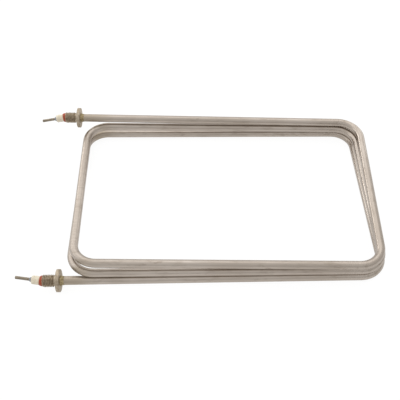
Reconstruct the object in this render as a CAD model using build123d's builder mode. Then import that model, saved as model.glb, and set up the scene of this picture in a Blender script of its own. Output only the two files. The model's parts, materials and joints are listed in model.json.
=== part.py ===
"""Tubular heating element: one steel tube bent into three stacked rectangular turns.

Both ends leave the coil at its left side. Each carries a threaded bush with a round
collar, and is closed by a silicone seal and a ceramic bead, from which the contact pin
comes out. Inside, the resistance coil lies in pressed magnesia powder.
Millimetres, +Z up, +X to the right along the long side, +Y to the back.
"""

import os

from build123d import *

os.makedirs("parts", exist_ok=True)

# Coil: sizes between the centre lines of the tube
COIL_LENGTH = 300.0
COIL_WIDTH = 195.5
BEND_RADIUS = 23.0
TURNS = 3
TURN_GAP = 0.3
LEG_LENGTH = 27.5

# How far the hand-wound turns stray from a true rectangle, top turn first. A row has
# its (left, right) end, moved in Y, and a side its (front, back) end, moved in X.
BACK_ROW_STRAY = [(1.2, -1.5), (-1.2, -2.0), (3.5, 0.0)]
FRONT_ROW_STRAY = [(1.5, 1.5), (-1.5, 2.5), (-5.0, 1.5)]
RIGHT_SIDE_STRAY = [(-3.0, 4.0), (0.0, 0.0), (1.5, -2.0)]
LEFT_SIDE_STRAY = [(2.5, -3.0), (-1.2, -6.6)]

# The turns touch at the right and fan open at the left, by these lifts of each turn
BACK_LEFT_LIFT = [11.0, 8.0, 0.0]
FRONT_LEFT_LIFT = [10.0, 6.0]

# Heating tube and what is inside it
TUBE_DIAMETER = 8.5
TUBE_WALL = 0.8
FIT = 0.05
GRIP_FIT = 0.02
HELIX_WALL = 0.4
COLD_LENGTH = 45.0
SPIGOT_LENGTH = 8.0

# Contact pin
PIN_DIAMETER = 3.0
PIN_FREE_LENGTH = 13.7
PIN_CHAMFER = 0.3
PIN_BEND_RADIUS = 8.0
PIN_BEND_DISTANCE = 1.0
PIN_BEND_SLOPE = 39.0
FRONT_PIN_ANGLE = 8.6
BACK_PIN_ANGLE = 10.1

# Threaded bush, M12, with its collar
THREAD_DIAMETER = 12.0
THREAD_LENGTH = 13.5
THREAD_DEPTH = 0.92
THREAD_CHAMFER = 0.8
RELIEF_WIDTH = 2.2
COLLAR_DIAMETER = 22.0
COLLAR_THICKNESS = 3.5
COLLAR_CHAMFER = 0.4

# Ring of braze behind the collar
BRAZE_LENGTH = 3.6
BRAZE_HEIGHT = 0.85
BRAZE_EDGE = 0.08
BRAZE_SAG = 0.2

# Silicone seal, ceramic bead and the bead of potting at its nose
SEAL_LENGTH = 2.75
SEAL_BASE_DIAMETER = 10.3
SEAL_PLUG_LENGTH = 3.0
SEAL_LIP = 0.2
CERAMIC_DIAMETER = 8.5
CERAMIC_LENGTH = 7.8
CERAMIC_NOSE_LENGTH = 0.9
CERAMIC_NOSE_STEP = 0.7
CERAMIC_EDGE = 0.3
POTTING_LENGTH = 2.1
POTTING_BASE_DIAMETER = 5.4
POTTING_EDGE = 0.12
POTTING_SAG = 0.25

tube_radius = TUBE_DIAMETER / 2
bore_radius = tube_radius - TUBE_WALL
pin_radius = PIN_DIAMETER / 2
bush_length = THREAD_LENGTH + COLLAR_THICKNESS
turn_pitch = TUBE_DIAMETER + TURN_GAP


def level(turn):
    """Height of a turn's centre line at the right, where the turns lie on each other."""
    return tube_radius + (TURNS - 1 - turn) * turn_pitch


# Corners of the centre line, from the back end, down through the turns, to the front end
corners = []
for turn in range(TURNS):
    right_front, right_back = RIGHT_SIDE_STRAY[turn]
    back_y = COIL_WIDTH + BACK_ROW_STRAY[turn][1]
    corners.append(Vector(COIL_LENGTH + right_back, back_y, level(turn)))
    corners.append(Vector(COIL_LENGTH + right_front, FRONT_ROW_STRAY[turn][1], level(turn)))
    if turn < TURNS - 1:
        left_front, left_back = LEFT_SIDE_STRAY[turn]
        front_z = level(turn) + FRONT_LEFT_LIFT[turn]
        back_z = level(turn + 1) + BACK_LEFT_LIFT[turn + 1]
        back_y = COIL_WIDTH + BACK_ROW_STRAY[turn + 1][0]
        corners.append(Vector(left_front, FRONT_ROW_STRAY[turn][0], front_z))
        corners.append(Vector(left_back, back_y, back_z))

# The back end is the highest. The front collar stands on the ground beside the lowest turn.
back_mouth = Vector(
    -LEG_LENGTH, COIL_WIDTH + BACK_ROW_STRAY[0][0], level(0) + BACK_LEFT_LIFT[0]
)
last_corner = corners[-1]
front_run = last_corner.X + LEG_LENGTH
rise_to_collar = COLLAR_DIAMETER / 2 + FIT - tube_radius
front_rise = rise_to_collar * front_run / (front_run - bush_length + COLLAR_THICKNESS / 2)
front_mouth = Vector(-LEG_LENGTH, FRONT_ROW_STRAY[-1][0], tube_radius + front_rise)


def centre_line(inset):
    """Centre line of the whole bent tube, shortened by an inset at both ends."""
    start = back_mouth + (corners[0] - back_mouth).normalized() * inset
    end = front_mouth + (last_corner - front_mouth).normalized() * inset
    with BuildLine() as line:
        FilletPolyline(start, *corners, end, radius=BEND_RADIUS)
    return line.wires()[0]


def bent_tube(inset, outer_radius, inner_radius):
    """Round bar or tube along the centre line, with an inner radius of 0 for a bar."""
    path = centre_line(inset)
    with BuildPart() as body:
        with BuildSketch(Plane(origin=path @ 0, z_dir=path % 0)):
            Circle(outer_radius)
            if inner_radius > 0:
                Circle(inner_radius, mode=Mode.SUBTRACT)
        sweep(path=path)
    return body.part


def end_plane(mouth, corner, toward):
    """Plane at a tube mouth, facing out, with its X the way that the pin bends."""
    outward = (mouth - corner).normalized()
    return Plane(origin=mouth, x_dir=toward - outward * toward.dot(outward), z_dir=outward)


pieces = []


def keep(part, label):
    """Give a finished piece its label and keep it for writing."""
    part.label = label
    pieces.append(part)


# Steel sheath, with the powder, the resistance coil and the powder inside the coil
keep(bent_tube(0, tube_radius, bore_radius), "sheath_tube")
keep(bent_tube(SEAL_PLUG_LENGTH, bore_radius - FIT, pin_radius + FIT), "magnesia_core")
keep(bent_tube(COLD_LENGTH, pin_radius, pin_radius - HELIX_WALL), "resistance_coil")
spigot_radius = pin_radius - HELIX_WALL - FIT
keep(bent_tube(COLD_LENGTH + SPIGOT_LENGTH, spigot_radius, 0), "magnesia_heart")


def profile_plane(plane):
    """Plane through the axis of another: X runs out along the axis, Y is the radius."""
    return Plane(origin=plane.origin, x_dir=plane.z_dir, z_dir=plane.y_dir)


def make_terminal(side, mouth, corner, toward, pin_angle):
    """All pieces of one end of the element, whose pin is bent to one side."""
    plane = end_plane(mouth, corner, toward)
    axis = Axis(plane.origin, plane.z_dir)
    bend_axis = Axis(plane.origin, plane.y_dir)
    bent = Plane(
        origin=plane.offset(PIN_BEND_DISTANCE).origin,
        x_dir=plane.x_dir.rotate(bend_axis, pin_angle),
        z_dir=plane.z_dir.rotate(bend_axis, pin_angle),
    )
    bent_axis = Axis(bent.origin, bent.z_dir)

    # Stations along the bent pin, from the place where it bends
    seal_end = SEAL_LENGTH - PIN_BEND_DISTANCE
    ceramic_end = seal_end + CERAMIC_LENGTH
    potting_end = ceramic_end + POTTING_LENGTH
    pin_end = potting_end + PIN_FREE_LENGTH

    # Contact pin, turned down at its inner end where the helix is pushed on
    cold_end = plane.offset(-COLD_LENGTH)
    with BuildLine() as pin_line:
        FilletPolyline(
            cold_end.origin,
            bent.origin,
            bent.offset(pin_end).origin,
            radius=PIN_BEND_RADIUS,
        )
    pin_path = pin_line.wires()[0]
    with BuildPart() as cold_pin:
        with BuildSketch(cold_end):
            Circle(pin_radius)
        sweep(path=pin_path)
        chamfer(cold_pin.edges().sort_by(bent_axis)[-1], PIN_CHAMFER)
        with BuildSketch(cold_end):
            Circle(spigot_radius)
        extrude(amount=-SPIGOT_LENGTH)
    keep(cold_pin.part, f"cold_pin_{side}")

    # Bush and collar, turned in one piece, with a relief where the thread ends
    bush_bore = tube_radius + FIT
    collar_radius = COLLAR_DIAMETER / 2
    thread_radius = THREAD_DIAMETER / 2
    root_radius = thread_radius - THREAD_DEPTH
    relief_end = RELIEF_WIDTH - THREAD_LENGTH
    with BuildPart() as bush:
        with BuildSketch(profile_plane(plane)):
            with BuildLine():
                Polyline(
                    (-bush_length, bush_bore),
                    (-bush_length, collar_radius - COLLAR_CHAMFER),
                    (COLLAR_CHAMFER - bush_length, collar_radius),
                    (-THREAD_LENGTH - COLLAR_CHAMFER, collar_radius),
                    (-THREAD_LENGTH, collar_radius - COLLAR_CHAMFER),
                    (-THREAD_LENGTH, root_radius),
                    (relief_end, root_radius),
                    (relief_end + THREAD_DEPTH, thread_radius),
                    (-THREAD_CHAMFER, thread_radius),
                    (0, thread_radius - THREAD_CHAMFER),
                    (0, bush_bore),
                    close=True,
                )
            make_face()
        revolve(axis=axis)
    keep(bush.part, f"threaded_bush_{side}")

    # Braze: a hollow fillet between the back of the collar and the tube
    braze_bore = tube_radius + GRIP_FIT
    braze_root = (-bush_length, tube_radius + BRAZE_HEIGHT)
    braze_tip = (-bush_length - BRAZE_LENGTH, tube_radius + BRAZE_EDGE)
    with BuildPart() as braze:
        with BuildSketch(profile_plane(plane)):
            with BuildLine():
                Polyline(
                    braze_tip,
                    (braze_tip[0], braze_bore),
                    (braze_root[0], braze_bore),
                    braze_root,
                )
                SagittaArc(braze_root, braze_tip, BRAZE_SAG)
            make_face()
        revolve(axis=axis)
    keep(braze.part, f"braze_ring_{side}")

    # Silicone seal: a cone between bush and ceramic, with a plug in the tube's mouth
    with BuildPart() as seal:
        with BuildSketch(plane):
            Circle(SEAL_BASE_DIAMETER / 2)
        with BuildSketch(bent.offset(seal_end)):
            Circle(CERAMIC_DIAMETER / 2 + SEAL_LIP)
        loft()
        with BuildSketch(plane):
            Circle(bore_radius - FIT)
        extrude(amount=-SEAL_PLUG_LENGTH)
        with BuildSketch(cold_end):
            Circle(pin_radius + GRIP_FIT)
        sweep(path=pin_path, mode=Mode.SUBTRACT)
    keep(seal.part, f"silicone_seal_{side}")

    # Ceramic bead with a bevelled nose
    ceramic_radius = CERAMIC_DIAMETER / 2
    with BuildPart() as ceramic:
        with BuildSketch(profile_plane(bent)):
            with BuildLine():
                Polyline(
                    (seal_end, pin_radius + FIT),
                    (seal_end, ceramic_radius - CERAMIC_EDGE),
                    (seal_end + CERAMIC_EDGE, ceramic_radius),
                    (ceramic_end - CERAMIC_NOSE_LENGTH, ceramic_radius),
                    (ceramic_end, ceramic_radius - CERAMIC_NOSE_STEP),
                    (ceramic_end, pin_radius + FIT),
                    close=True,
                )
            make_face()
        revolve(axis=bent_axis)
    keep(ceramic.part, f"ceramic_bead_{side}")

    # Potting: a small hollow cone round the pin at the ceramic's nose
    potting_bore = pin_radius + GRIP_FIT
    potting_root = (ceramic_end, POTTING_BASE_DIAMETER / 2)
    potting_tip = (potting_end, pin_radius + POTTING_EDGE)
    with BuildPart() as potting:
        with BuildSketch(profile_plane(bent)):
            with BuildLine():
                Polyline(
                    potting_tip,
                    (potting_end, potting_bore),
                    (ceramic_end, potting_bore),
                    potting_root,
                )
                SagittaArc(potting_root, potting_tip, -POTTING_SAG)
            make_face()
        revolve(axis=bent_axis)
    keep(potting.part, f"potting_bead_{side}")


# Each pin is bent towards the other end, on a slope: the front pin up, the back pin down
bend_direction = Vector(0, 1, 0).rotate(Axis.X, PIN_BEND_SLOPE)
make_terminal("front", front_mouth, last_corner, bend_direction, FRONT_PIN_ANGLE)
make_terminal("back", back_mouth, corners[0], -bend_direction, BACK_PIN_ANGLE)

# The origin is on the ground, under the middle of the whole element
extent = pieces[0].bounding_box()
for piece in pieces:
    extent = extent.add(piece.bounding_box())
to_origin = Location((-extent.center().X, -extent.center().Y, -extent.min.Z))
for piece in pieces:
    export_step(piece.moved(to_origin), f"parts/{piece.label}.step")
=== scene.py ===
import json
import math

import bpy
from mathutils import Matrix, Vector, noise


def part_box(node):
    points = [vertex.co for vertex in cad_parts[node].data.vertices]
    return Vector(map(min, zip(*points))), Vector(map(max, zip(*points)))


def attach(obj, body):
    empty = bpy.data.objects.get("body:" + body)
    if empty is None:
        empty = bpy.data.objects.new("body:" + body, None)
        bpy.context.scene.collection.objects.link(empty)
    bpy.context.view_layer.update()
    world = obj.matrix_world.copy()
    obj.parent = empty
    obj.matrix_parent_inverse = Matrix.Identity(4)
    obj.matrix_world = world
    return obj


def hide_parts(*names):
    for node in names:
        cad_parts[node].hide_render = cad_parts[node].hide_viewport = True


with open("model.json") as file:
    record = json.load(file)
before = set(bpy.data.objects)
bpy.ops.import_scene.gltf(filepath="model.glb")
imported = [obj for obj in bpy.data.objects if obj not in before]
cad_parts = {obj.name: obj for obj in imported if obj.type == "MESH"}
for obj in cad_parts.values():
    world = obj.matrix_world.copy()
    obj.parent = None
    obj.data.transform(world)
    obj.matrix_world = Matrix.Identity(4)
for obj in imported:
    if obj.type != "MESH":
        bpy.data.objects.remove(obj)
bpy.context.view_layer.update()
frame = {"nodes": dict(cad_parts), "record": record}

# Camera: where it stands, and how it is turned, in degrees
CAMERA_PLACE = (-0.001427, -0.412296, 0.518837)
CAMERA_PITCH = 51.1737
CAMERA_YAW = -0.2977
CAMERA_ROLL = -0.8475
SENSOR_WIDTH_MM = 36.0
IMAGE_WIDTH_PX = 400
FOCAL_LENGTH_PX = 619.19

# Heating tube and what sits at its mouths, as in the CAD model
TUBE_RADIUS = 0.00425
PIN_RADIUS = 0.0015
GRIP_FIT = 0.00002
LOOSE_FIT = 0.00005
THREAD_LENGTH = 0.0135
THREAD_PITCH = 0.0015
THREAD_CHAMFER = 0.0008
THREAD_RELIEF = 0.0022
COLLAR_RADIUS = 0.011
COLLAR_THICKNESS = 0.0035
COLLAR_EDGE = 0.0004
BRAZE_LENGTH = 0.0036
BRAZE_HEIGHT = 0.00085
BRAZE_EDGE = 0.00008
SEAL_LENGTH = 0.00275
SEAL_BASE_RADIUS = 0.00515
SEAL_LIP = 0.0002
PIN_BEND_DISTANCE = 0.001
CERAMIC_RADIUS = 0.00425
CERAMIC_LENGTH = 0.0078
CERAMIC_NOSE_LENGTH = 0.0009
CERAMIC_NOSE_STEP = 0.0007
CERAMIC_EDGE = 0.0003
POTTING_LENGTH = 0.0021
POTTING_BASE_RADIUS = 0.0027
POTTING_EDGE = 0.00012

# ISO metric thread form, as shares of the pitch
THREAD_DEPTH_SHARE = 0.6134
CREST_FLAT_SHARE = 0.125
ROOT_FLAT_SHARE = 0.25

# Bulges of the pieces that were soft once, and how lumpy they are
SEAL_SWELL = 0.00022
POTTING_SWELL = 0.00025
POTTING_LUMPS = 0.18
BRAZE_LUMPS = 0.35
BRAZE_HOLLOW = 1.6

# Reach of the tube's looks: the ends that brazing has dulled, and the shinier right side
LEG_RUN = 0.06
SHINY_RUN = 0.07
BEND_RADIUS = 0.023

# Floor: its colour in the light that it throws back, then the part of its colour that takes
# the shadow and the white added to it, as the camera sees it and as metal mirrors it
FLOOR_HALF_SIZE = 6.0
FLOOR_PALE = 0.8
FLOOR_SHADOW = 0.12
FLOOR_WHITE = 0.92
MIRRORED_SHADOW = 0.3
MIRRORED_WHITE = 0.66

# Sky: brightest from the back, the left and above
SKY_BRIGHT_WAY = (-0.35, 0.45, 0.82)
SKY_BRIGHT = 1.0
SKY_DIM = 0.65
SKY_FADE_START = -0.4
SKY_FADE_END = 0.9

# Lamps: name, place, the point they face, width and height, and power in watts. The two low
# ones at the back draw the bright lines on the sides of the coil.
LAMPS = (
    ("key", (-0.1, 0.9, 1.5), (0.0, 0.0, 0.0), (2.4, 1.6), 6.0),
    ("left", (-1.1, 0.3, 0.55), (0.15, 0.0, 0.0), (1.0, 0.6), 1.2),
    ("back_left", (-0.45, 0.6, 0.15), (0.15, 0.0, 0.0), (0.4, 0.25), 0.65),
    ("back_right", (0.5, 0.6, 0.15), (-0.15, 0.0, 0.0), (0.4, 0.25), 0.3),
)

# Fineness of the meshes
TURN_SEGMENTS = 128
CORNER_STEPS = 4
THREAD_STEPS_A_TURN = 12
BRAZE_STEPS = 14
SEAL_STEPS = 10
POTTING_STEPS = 10
SHARP_ANGLE_DEGREES = 40

BODY = "root"

mounts = {mount["name"]: mount for mount in frame["record"]["mounts"]}


def turned_mesh(name, origin, axis, profile, shape=None):
    """Closed ring mesh: a closed profile of (along, radius) points, turned round an axis.

    shape(along, radius, angle) may return another radius for a point.
    """
    across = axis.orthogonal().normalized()
    sideways = axis.cross(across)
    points = []
    turned = []
    for along, radius in profile:
        for segment in range(TURN_SEGMENTS):
            angle = math.tau * segment / TURN_SEGMENTS
            reach = shape(along, radius, angle) if shape else radius
            spoke = across * math.cos(angle) + sideways * math.sin(angle)
            points.append(origin + axis * along + spoke * reach)
            turned.append((along, reach, 0.0))
    return ring_piece(name, points, turned)


def ring_piece(name, points, turned):
    """Object of rings of points, each joined to the next one and the last to the first.

    It is shaded soft up to its sharp edges. turned keeps each point's place along and off
    the axis for the material.
    """
    rings = len(points) // TURN_SEGMENTS
    faces = []
    for ring in range(rings):
        here = ring * TURN_SEGMENTS
        there = (ring + 1) % rings * TURN_SEGMENTS
        for segment in range(TURN_SEGMENTS):
            after = (segment + 1) % TURN_SEGMENTS
            faces.append((here + segment, here + after, there + after, there + segment))
    mesh = bpy.data.meshes.new(name)
    mesh.from_pydata(points, [], faces)
    mesh.validate()
    attribute = mesh.attributes.new("turned", "FLOAT_VECTOR", "POINT")
    for place, value in zip(attribute.data, turned):
        place.vector = value
    mesh.polygons.foreach_set("use_smooth", [True] * len(mesh.polygons))
    mesh.set_sharp_from_angle(angle=math.radians(SHARP_ANGLE_DEGREES))
    piece = bpy.data.objects.new(name, mesh)
    bpy.context.scene.collection.objects.link(piece)
    return piece


def place_piece(piece, node, material):
    """The piece stands for a CAD node, rides on the body and wears a material."""
    piece.data.materials.append(material)
    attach(piece, BODY)
    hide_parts(node)


def rounded(start, corner, end, size):
    """Points of a small round at a corner between two straight runs of a profile."""
    corner = Vector(corner)
    before = corner + (Vector(start) - corner).normalized() * size
    after = corner + (Vector(end) - corner).normalized() * size
    points = []
    for step in range(CORNER_STEPS + 1):
        share = step / CORNER_STEPS
        one = before.lerp(corner, share)
        two = corner.lerp(after, share)
        points.append(tuple(one.lerp(two, share)))
    return points


class Shader:
    """Node material, built with few words."""

    def __init__(self, name):
        self.material = bpy.data.materials.new(name)
        self.material.use_nodes = True
        self.nodes = self.material.node_tree.nodes
        self.links = self.material.node_tree.links
        self.surface = self.nodes["Principled BSDF"]

    def add(self, kind, **settings):
        node = self.nodes.new(kind)
        for key, value in settings.items():
            setattr(node, key, value)
        return node

    def link(self, source, target):
        self.links.new(source, target)

    def set(self, **values):
        """Plain values of the surface, by socket name with underscores for blanks."""
        for key, value in values.items():
            self.surface.inputs[key.replace("_", " ")].default_value = value

    def place(self, stretch, attribute=None):
        """Coordinates, in the object's space or from an attribute, times a stretch."""
        if attribute:
            source = self.add("ShaderNodeAttribute", attribute_name=attribute).outputs["Vector"]
        else:
            source = self.add("ShaderNodeTexCoord").outputs["Object"]
        mapping = self.add("ShaderNodeMapping")
        mapping.inputs["Scale"].default_value = stretch
        self.link(source, mapping.inputs["Vector"])
        return mapping.outputs["Vector"]

    def noise(self, vector, scale, detail=4.0, roughness=0.55):
        node = self.add("ShaderNodeTexNoise")
        node.inputs["Scale"].default_value = scale
        node.inputs["Detail"].default_value = detail
        node.inputs["Roughness"].default_value = roughness
        self.link(vector, node.inputs["Vector"])
        return node.outputs["Fac"]

    def ranged(self, value, from_low, from_high, to_low, to_high):
        """The value, carried smoothly from one range to another and held at its ends."""
        node = self.add("ShaderNodeMapRange", interpolation_type="SMOOTHSTEP")
        limits = (from_low, from_high, to_low, to_high)
        for key, limit in zip(("From Min", "From Max", "To Min", "To Max"), limits):
            node.inputs[key].default_value = limit
        self.link(value, node.inputs["Value"])
        return node.outputs["Result"]

    def blend(self, share, one, two):
        """Colour between two, each a colour or another node's output."""
        node = self.add("ShaderNodeMix", data_type="RGBA", blend_type="MIX")
        self.feed(share, node.inputs[0])
        self.feed(one, node.inputs[6])
        self.feed(two, node.inputs[7])
        return node.outputs[2]

    def math(self, operation, one, two=0.0):
        """Result of an operation on one or two numbers, each plain or another node's output."""
        node = self.add("ShaderNodeMath", operation=operation)
        self.feed(one, node.inputs[0])
        self.feed(two, node.inputs[1])
        return node.outputs[0]

    def feed(self, source, target):
        if isinstance(source, bpy.types.NodeSocket):
            self.link(source, target)
        else:
            target.default_value = source

    def colour(self, source):
        self.link(source, self.surface.inputs["Base Color"])

    def rough(self, source):
        self.link(source, self.surface.inputs["Roughness"])

    def bump(self, height, strength, distance):
        node = self.add("ShaderNodeBump")
        node.inputs["Strength"].default_value = strength
        node.inputs["Distance"].default_value = distance
        self.link(height, node.inputs["Height"])
        self.link(node.outputs["Normal"], self.surface.inputs["Normal"])


def rgb(red, green, blue):
    """Linear colour from the 0 to 255 levels of a screen colour."""
    def linear(level):
        share = level / 255
        return share / 12.92 if share <= 0.04045 else ((share + 0.055) / 1.055) ** 2.4

    return (linear(red), linear(green), linear(blue), 1.0)


def grey(share):
    return (share, share, share, 1.0)


def sheath_material():
    """Drawn steel tube: soft streaks along the runs, brownish mottling, dull scuffs."""
    steel = Shader("sheath_steel")
    steel.set(Metallic=1.0)
    low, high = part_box("sheath_tube")
    position = steel.add("ShaderNodeSeparateXYZ")
    steel.link(steel.place((1, 1, 1)), position.inputs["Vector"])
    off_middle = steel.math("ABSOLUTE", position.outputs["X"])
    # Streaks run along the tube: in X, and in Y beyond the bends
    bend_start = high.x - 2.6 * BEND_RADIUS
    bend_end = high.x - 1.2 * BEND_RADIUS
    side = steel.ranged(off_middle, bend_start, bend_end, 0.0, 1.0)
    streaks_in_x = steel.noise(steel.place((30, 900, 900)), 1.0, 5.0, 0.6)
    streaks_in_y = steel.noise(steel.place((900, 30, 900)), 1.0, 5.0, 0.6)
    streaks = steel.blend(side, streaks_in_x, streaks_in_y)
    patches_in_x = steel.noise(steel.place((70, 240, 240)), 1.0, 3.0, 0.6)
    patches_in_y = steel.noise(steel.place((240, 70, 240)), 1.0, 3.0, 0.6)
    patches = steel.blend(side, patches_in_x, patches_in_y)
    broad = steel.noise(steel.place((1, 1, 1)), 14.0, 2.0, 0.5)
    wear = steel.ranged(broad, 0.35, 0.65, 0.0, 1.0)
    worn = steel.blend(wear, rgb(192, 182, 172), rgb(180, 169, 158))
    mottled = steel.blend(steel.ranged(patches, 0.5, 0.75, 0.0, 0.4), worn, rgb(140, 127, 112))
    streaked = steel.blend(steel.ranged(streaks, 0.3, 0.75, 0.0, 0.3), mottled, rgb(146, 134, 121))
    stains = steel.noise(steel.place((60, 160, 160)), 1.0, 4.0, 0.65)
    stained = steel.blend(steel.ranged(stains, 0.6, 0.78, 0.0, 0.5), streaked, rgb(120, 101, 84))
    # Near the collars the tube has been heated by the brazing, and is duller
    off_centre = steel.math("ABSOLUTE", position.outputs["Y"])
    leg = steel.math(
        "MULTIPLY",
        steel.ranged(position.outputs["X"], low.x + LEG_RUN, low.x + LEG_RUN / 2, 0.0, 1.0),
        steel.ranged(off_centre, high.y - 4 * TUBE_RADIUS, high.y - 3 * TUBE_RADIUS, 0.0, 0.85),
    )
    steel.colour(steel.blend(leg, stained, rgb(172, 160, 144)))
    satin = steel.ranged(streaks, 0.3, 0.7, 0.28, 0.38)
    shiny = steel.ranged(position.outputs["X"], high.x - SHINY_RUN, high.x - BEND_RADIUS, 0.0, 0.06)
    satin = steel.math("SUBTRACT", satin, shiny)
    steel.rough(steel.math("ADD", satin, steel.math("MULTIPLY", leg, 0.2)))
    steel.bump(streaks, 0.05, 0.0001)
    return steel.material


def turned_steel_material(name, light, dark, rings, roughness):
    """Lathe-turned steel: fine rings round the axis, and uneven brown-grey tarnish."""
    steel = Shader(name)
    steel.set(Metallic=1.0)
    grooves = steel.noise(steel.place((rings, rings, rings), "turned"), 1.0, 3.0, 0.6)
    tarnish = steel.noise(steel.place((1, 1, 1)), 420.0, 4.0, 0.65)
    base = steel.blend(steel.ranged(tarnish, 0.35, 0.68, 0.0, 1.0), light, dark)
    ringed = steel.blend(steel.ranged(grooves, 0.3, 0.75, 0.0, 0.4), base, dark)
    steel.colour(ringed)
    steel.rough(steel.ranged(tarnish, 0.3, 0.7, roughness - 0.06, roughness + 0.1))
    steel.bump(grooves, 0.25, 0.00008)
    return steel.material


def pin_material():
    """Drawn wire: dull grey, with streaks along the pin and a few dark scuffs."""
    steel = Shader("pin_steel")
    steel.set(Metallic=1.0)
    streaks = steel.noise(steel.place((120, 2400, 2400)), 1.0, 4.0, 0.6)
    scuffs = steel.noise(steel.place((1, 1, 1)), 600.0, 3.0, 0.6)
    wear = steel.ranged(streaks, 0.3, 0.7, 0.0, 1.0)
    base = steel.blend(wear, rgb(158, 147, 131), rgb(126, 115, 100))
    steel.colour(steel.blend(steel.ranged(scuffs, 0.55, 0.75, 0.0, 0.5), base, rgb(90, 80, 68)))
    steel.rough(steel.ranged(scuffs, 0.3, 0.7, 0.38, 0.55))
    steel.bump(streaks, 0.2, 0.00006)
    return steel.material


def braze_material():
    """Flowed brass braze: olive gold with darker flux stains."""
    braze = Shader("braze")
    braze.set(Metallic=0.85)
    stains = braze.noise(braze.place((1, 1, 1)), 700.0, 4.0, 0.6)
    stained = braze.ranged(stains, 0.38, 0.66, 0.0, 1.0)
    braze.colour(braze.blend(stained, rgb(182, 166, 130), rgb(146, 130, 96)))
    braze.rough(braze.ranged(stains, 0.3, 0.7, 0.5, 0.7))
    braze.bump(stains, 0.4, 0.00015)
    return braze.material


def silicone_material():
    """Orange-red silicone with a faint bloom."""
    silicone = Shader("silicone")
    silicone.set(Specular_IOR_Level=0.4, Subsurface_Weight=0.08, Subsurface_Scale=0.001)
    bloom = silicone.noise(silicone.place((1, 1, 1)), 520.0, 3.0, 0.6)
    bloomed = silicone.ranged(bloom, 0.35, 0.7, 0.0, 1.0)
    silicone.colour(silicone.blend(bloomed, rgb(166, 72, 38), rgb(146, 66, 40)))
    silicone.rough(silicone.ranged(bloom, 0.3, 0.7, 0.4, 0.58))
    silicone.bump(bloom, 0.15, 0.0001)
    return silicone.material


def ceramic_material():
    """Cream steatite with a thin glaze, faintly speckled."""
    ceramic = Shader("ceramic")
    ceramic.set(Specular_IOR_Level=0.5, Coat_Weight=0.35, Coat_Roughness=0.12)
    clouds = ceramic.noise(ceramic.place((1, 1, 1)), 300.0, 3.0, 0.55)
    specks = ceramic.noise(ceramic.place((1, 1, 1)), 2600.0, 2.0, 0.7)
    clouded = ceramic.ranged(clouds, 0.35, 0.65, 0.0, 1.0)
    cream = ceramic.blend(clouded, rgb(230, 221, 199), rgb(217, 205, 181))
    speckled = ceramic.ranged(specks, 0.66, 0.8, 0.0, 0.35)
    ceramic.colour(ceramic.blend(speckled, cream, rgb(170, 155, 130)))
    ceramic.rough(ceramic.ranged(clouds, 0.3, 0.7, 0.3, 0.42))
    ceramic.bump(specks, 0.06, 0.00006)
    return ceramic.material


def potting_material():
    """Blue-grey glassy potting."""
    potting = Shader("potting")
    potting.set(Specular_IOR_Level=0.5, Coat_Weight=0.6, Coat_Roughness=0.08)
    swirls = potting.noise(potting.place((1, 1, 1)), 900.0, 3.0, 0.6)
    swirled = potting.ranged(swirls, 0.35, 0.65, 0.0, 1.0)
    potting.colour(potting.blend(swirled, rgb(150, 152, 156), rgb(94, 96, 108)))
    potting.rough(potting.ranged(swirls, 0.3, 0.7, 0.18, 0.35))
    potting.bump(swirls, 0.2, 0.00008)
    return potting.material


def powder_material():
    """Pressed magnesia powder, inside the tube."""
    powder = Shader("magnesia")
    grain = powder.noise(powder.place((1, 1, 1)), 3000.0, 4.0, 0.7)
    grained = powder.ranged(grain, 0.3, 0.7, 0.0, 1.0)
    powder.colour(powder.blend(grained, rgb(236, 233, 226), rgb(214, 210, 202)))
    powder.rough(powder.ranged(grain, 0.3, 0.7, 0.8, 0.95))
    powder.bump(grain, 0.3, 0.0001)
    return powder.material


def helix_material():
    """Resistance wire, inside the tube."""
    helix = Shader("helix")
    helix.set(Metallic=1.0)
    oxide = helix.noise(helix.place((1, 1, 1)), 1500.0, 3.0, 0.6)
    oxidised = helix.ranged(oxide, 0.3, 0.7, 0.0, 1.0)
    helix.colour(helix.blend(oxidised, rgb(150, 146, 142), rgb(104, 98, 92)))
    helix.rough(helix.ranged(oxide, 0.3, 0.7, 0.4, 0.6))
    return helix.material


def thread_height(along, angle):
    """Height in the ISO thread form, from 0 at its root to 1 at its crest."""
    phase = (along / THREAD_PITCH - angle / math.tau) % 1.0
    off_root = abs(phase - 0.5) * 2
    flank = (off_root - ROOT_FLAT_SHARE) / (1 - ROOT_FLAT_SHARE - CREST_FLAT_SHARE)
    return min(max(flank, 0.0), 1.0)


def make_bush(side, mouth, axis, material):
    """Bush with a real helical thread, a relief behind it, and the collar."""
    crest = mounts[f"{side}_thread"]["dims"]["r_mm"] / 1000
    depth = THREAD_DEPTH_SHARE * THREAD_PITCH
    root = crest - depth
    bore = TUBE_RADIUS + LOOSE_FIT
    relief_end = THREAD_RELIEF - THREAD_LENGTH
    back = -THREAD_LENGTH - COLLAR_THICKNESS
    run = -relief_end
    steps = round(run / THREAD_PITCH * THREAD_STEPS_A_TURN)

    def threaded(along, radius, angle):
        if radius < root + depth / 100 or along < relief_end or radius > crest:
            return radius
        cut = root + depth * thread_height(along, angle)
        end_cone = crest - THREAD_CHAMFER - along
        run_out = root + (along - relief_end)
        return max(min(cut, end_cone, run_out), bore + depth / 4)

    back_edge = (back, COLLAR_RADIUS)
    face_edge = (-THREAD_LENGTH, COLLAR_RADIUS)
    face_foot = (-THREAD_LENGTH, root)
    profile = [(back, bore)]
    profile += rounded((back, bore), back_edge, face_edge, COLLAR_EDGE)
    profile += rounded(back_edge, face_edge, face_foot, COLLAR_EDGE)
    profile += [face_foot, (relief_end, root)]
    for step in range(1, steps):
        profile.append((relief_end + run * step / steps, crest))
    profile += [(0.0, crest - THREAD_CHAMFER), (0.0, bore)]
    piece = turned_mesh(f"bush_{side}", mouth, axis, profile, shape=threaded)
    place_piece(piece, f"threaded_bush_{side}", material)


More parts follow.
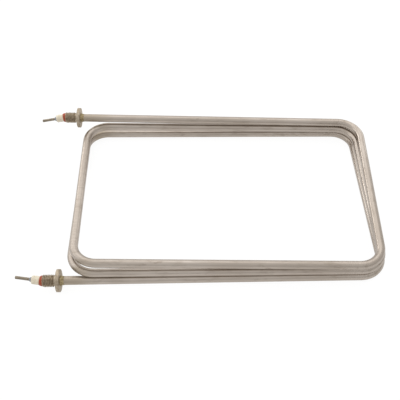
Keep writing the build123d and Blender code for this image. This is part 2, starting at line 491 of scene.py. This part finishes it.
def make_braze(side, mouth, axis, material):
    """Lumpy ring of braze that has run from the collar onto the tube."""
    bore = TUBE_RADIUS + GRIP_FIT
    start = -THREAD_LENGTH - COLLAR_THICKNESS
    profile = [(start, bore)]
    for step in range(BRAZE_STEPS + 1):
        share = step / BRAZE_STEPS
        height = BRAZE_EDGE + (BRAZE_HEIGHT - BRAZE_EDGE) * (1 - share) ** BRAZE_HOLLOW
        profile.append((start - BRAZE_LENGTH * share, TUBE_RADIUS + height))
    profile.append((start - BRAZE_LENGTH, bore))

    def lumpy(along, radius, angle):
        if radius <= bore:
            return radius
        spot = Vector((math.cos(angle) * 2.2, math.sin(angle) * 2.2, along * 900 + len(side)))
        swell = 1 + BRAZE_LUMPS * noise.noise(spot)
        return TUBE_RADIUS + (radius - TUBE_RADIUS) * swell

    piece = turned_mesh(f"braze_{side}", mouth, axis, profile, shape=lumpy)
    place_piece(piece, f"braze_ring_{side}", material)


def make_seal(side, mouth, axis, bend, pin_axis, material):
    """Silicone between bush and ceramic: it swells a little, and leans over with the pin."""
    end = bend + pin_axis * (SEAL_LENGTH - PIN_BEND_DISTANCE)
    bore = PIN_RADIUS + GRIP_FIT
    start_across = axis.orthogonal().normalized()
    lean = axis.rotation_difference(pin_axis)
    points = []
    turned = []
    rings = []
    for step in range(SEAL_STEPS + 1):
        share = step / SEAL_STEPS
        swell = SEAL_SWELL * math.sin(math.pi * share)
        radius = SEAL_BASE_RADIUS * (1 - share) + (CERAMIC_RADIUS + SEAL_LIP) * share + swell
        rings.append((share, radius))
    rings += [(1.0, bore), (0.0, bore)]
    for share, radius in rings:
        centre = mouth.lerp(end, share)
        turn = Matrix.Identity(3).to_quaternion().slerp(lean, share)
        across = turn @ start_across
        sideways = (turn @ axis).cross(across)
        for segment in range(TURN_SEGMENTS):
            angle = math.tau * segment / TURN_SEGMENTS
            spoke = across * math.cos(angle) + sideways * math.sin(angle)
            points.append(centre + spoke * radius)
            turned.append((share * SEAL_LENGTH, radius, 0.0))
    piece = ring_piece(f"seal_{side}", points, turned)
    place_piece(piece, f"silicone_seal_{side}", material)


def make_ceramic(side, bend, pin_axis, material):
    """Ceramic bead with softened edges and a bevelled nose."""
    start = SEAL_LENGTH - PIN_BEND_DISTANCE
    end = start + CERAMIC_LENGTH
    bore = PIN_RADIUS + LOOSE_FIT
    shoulder = (end - CERAMIC_NOSE_LENGTH, CERAMIC_RADIUS)
    nose = (end, CERAMIC_RADIUS - CERAMIC_NOSE_STEP)
    profile = [(start, bore)]
    profile += rounded((start, bore), (start, CERAMIC_RADIUS), shoulder, CERAMIC_EDGE)
    profile += rounded((start, CERAMIC_RADIUS), shoulder, nose, CERAMIC_EDGE)
    profile += rounded(shoulder, nose, (end, bore), CERAMIC_EDGE)
    profile.append((end, bore))
    piece = turned_mesh(f"ceramic_{side}", bend, pin_axis, profile)
    place_piece(piece, f"ceramic_bead_{side}", material)


def make_potting(side, bend, pin_axis, material):
    """Drop of potting that has crept up the pin."""
    start = SEAL_LENGTH - PIN_BEND_DISTANCE + CERAMIC_LENGTH
    bore = PIN_RADIUS + GRIP_FIT
    edge = PIN_RADIUS + POTTING_EDGE
    profile = [(start, bore)]
    for step in range(POTTING_STEPS + 1):
        share = step / POTTING_STEPS
        swell = POTTING_SWELL * math.sin(math.pi * share)
        radius = POTTING_BASE_RADIUS * (1 - share) + edge * share + swell
        profile.append((start + POTTING_LENGTH * share, radius))
    profile.append((start + POTTING_LENGTH, bore))

    def uneven(along, radius, angle):
        if radius <= bore:
            return radius
        spot = Vector((math.cos(angle) * 1.5, math.sin(angle) * 1.5, along * 500 + len(side)))
        return bore + (radius - bore) * (1 + POTTING_LUMPS * noise.noise(spot))

    piece = turned_mesh(f"potting_{side}", bend, pin_axis, profile, shape=uneven)
    place_piece(piece, f"potting_bead_{side}", material)


def dress_node(node, material):
    """A CAD node whose shape is right keeps its mesh and gets a better material."""
    for slot in frame["nodes"][node].material_slots:
        slot.material = material


def make_terminals():
    bush_steel = turned_steel_material(
        "bush_steel", light=rgb(190, 177, 158), dark=rgb(158, 144, 124), rings=9000, roughness=0.5
    )
    braze = braze_material()
    silicone = silicone_material()
    ceramic = ceramic_material()
    potting = potting_material()
    pin_steel = pin_material()
    for side in ("front", "back"):
        thread = mounts[f"{side}_thread"]
        axis = Vector(thread["axis"])
        half_wall = thread["dims"]["length_mm"] / 2000
        mouth = Vector(thread["pos_m"]) + axis * (half_wall + THREAD_CHAMFER)
        pin_axis = Vector(mounts[f"{side}_contact_pin"]["axis"])
        bend = mouth + axis * PIN_BEND_DISTANCE
        make_bush(side, mouth, axis, bush_steel)
        make_braze(side, mouth, axis, braze)
        make_seal(side, mouth, axis, bend, pin_axis, silicone)
        make_ceramic(side, bend, pin_axis, ceramic)
        make_potting(side, bend, pin_axis, potting)
        dress_node(f"cold_pin_{side}", pin_steel)


def make_floor():
    """Pale floor that keeps a soft shadow, and looks white to the camera and in the metal."""
    size = FLOOR_HALF_SIZE
    mesh = bpy.data.meshes.new("floor")
    corners = [(-size, -size, 0), (size, -size, 0), (size, size, 0), (-size, size, 0)]
    mesh.from_pydata(corners, [], [(0, 1, 2, 3)])
    floor = bpy.data.objects.new("floor", mesh)
    bpy.context.scene.collection.objects.link(floor)
    pale = Shader("floor")
    pale.set(Roughness=0.9, Specular_IOR_Level=0.0)
    rays = pale.add("ShaderNodeLightPath").outputs
    seen = rays["Is Camera Ray"]
    mirrored = pale.math("MAXIMUM", rays["Is Glossy Ray"], rays["Is Transmission Ray"])
    white = pale.math("MULTIPLY", seen, FLOOR_WHITE)
    white = pale.math("ADD", white, pale.math("MULTIPLY", mirrored, MIRRORED_WHITE))
    pale.set(Emission_Color=(1.0, 1.0, 1.0, 1.0))
    pale.link(white, pale.surface.inputs["Emission Strength"])
    shade = pale.blend(mirrored, grey(FLOOR_PALE), grey(MIRRORED_SHADOW))
    pale.colour(pale.blend(seen, shade, grey(FLOOR_SHADOW)))
    mesh.materials.append(pale.material)


def add_area_light(name, place, target, size, power):
    """White rectangular lamp at a place, turned to a target."""
    light = bpy.data.lights.new(name, "AREA")
    light.shape = "RECTANGLE"
    light.size, light.size_y = size
    light.energy = power
    lamp = bpy.data.objects.new(name, light)
    lamp.location = place
    lamp.visible_camera = False
    facing = Vector(target) - Vector(place)
    lamp.rotation_euler = facing.to_track_quat("-Z", "Y").to_euler()
    bpy.context.scene.collection.objects.link(lamp)


def light_scene():
    """Sky that fades from its bright side to its dim side, and the lamps."""
    world = bpy.data.worlds.new("studio")
    bpy.context.scene.world = world
    world.use_nodes = True
    nodes = world.node_tree.nodes
    links = world.node_tree.links
    direction = nodes.new("ShaderNodeTexCoord").outputs["Generated"]
    lean = nodes.new("ShaderNodeVectorMath")
    lean.operation = "DOT_PRODUCT"
    lean.inputs[1].default_value = SKY_BRIGHT_WAY
    links.new(direction, lean.inputs[0])
    fade = nodes.new("ShaderNodeMapRange")
    fade.inputs["From Min"].default_value = SKY_FADE_START
    fade.inputs["From Max"].default_value = SKY_FADE_END
    fade.inputs["To Min"].default_value = SKY_DIM
    fade.inputs["To Max"].default_value = SKY_BRIGHT
    links.new(lean.outputs["Value"], fade.inputs["Value"])
    links.new(fade.outputs["Result"], nodes["Background"].inputs["Strength"])
    nodes["Background"].inputs["Color"].default_value = grey(1.0)
    for lamp in LAMPS:
        add_area_light(*lamp)


def make_camera():
    """Camera at the photograph's place and angle."""
    pitch = math.radians(CAMERA_PITCH)
    yaw = math.radians(CAMERA_YAW)
    roll = math.radians(CAMERA_ROLL)
    ahead = math.cos(pitch)
    forward = Vector((math.sin(yaw) * ahead, math.cos(yaw) * ahead, -math.sin(pitch)))
    level = Vector((math.cos(yaw), -math.sin(yaw), 0.0))
    upward = level.cross(forward)
    right = level * math.cos(roll) + upward * math.sin(roll)
    up = upward * math.cos(roll) - level * math.sin(roll)
    data = bpy.data.cameras.new("camera")
    data.sensor_width = SENSOR_WIDTH_MM
    data.lens = SENSOR_WIDTH_MM * FOCAL_LENGTH_PX / IMAGE_WIDTH_PX
    data.clip_start = 0.01
    data.clip_end = 20.0
    camera = bpy.data.objects.new("camera", data)
    turn = Matrix((right, up, -forward)).transposed()
    camera.matrix_world = Matrix.Translation(CAMERA_PLACE) @ turn.to_4x4()
    bpy.context.scene.collection.objects.link(camera)
    bpy.context.scene.camera = camera


make_terminals()
dress_node("sheath_tube", sheath_material())
powder = powder_material()
dress_node("magnesia_core", powder)
dress_node("magnesia_heart", powder)
dress_node("resistance_coil", helix_material())
make_floor()
light_scene()
make_camera()
bpy.context.scene.view_settings.view_transform = "Standard"
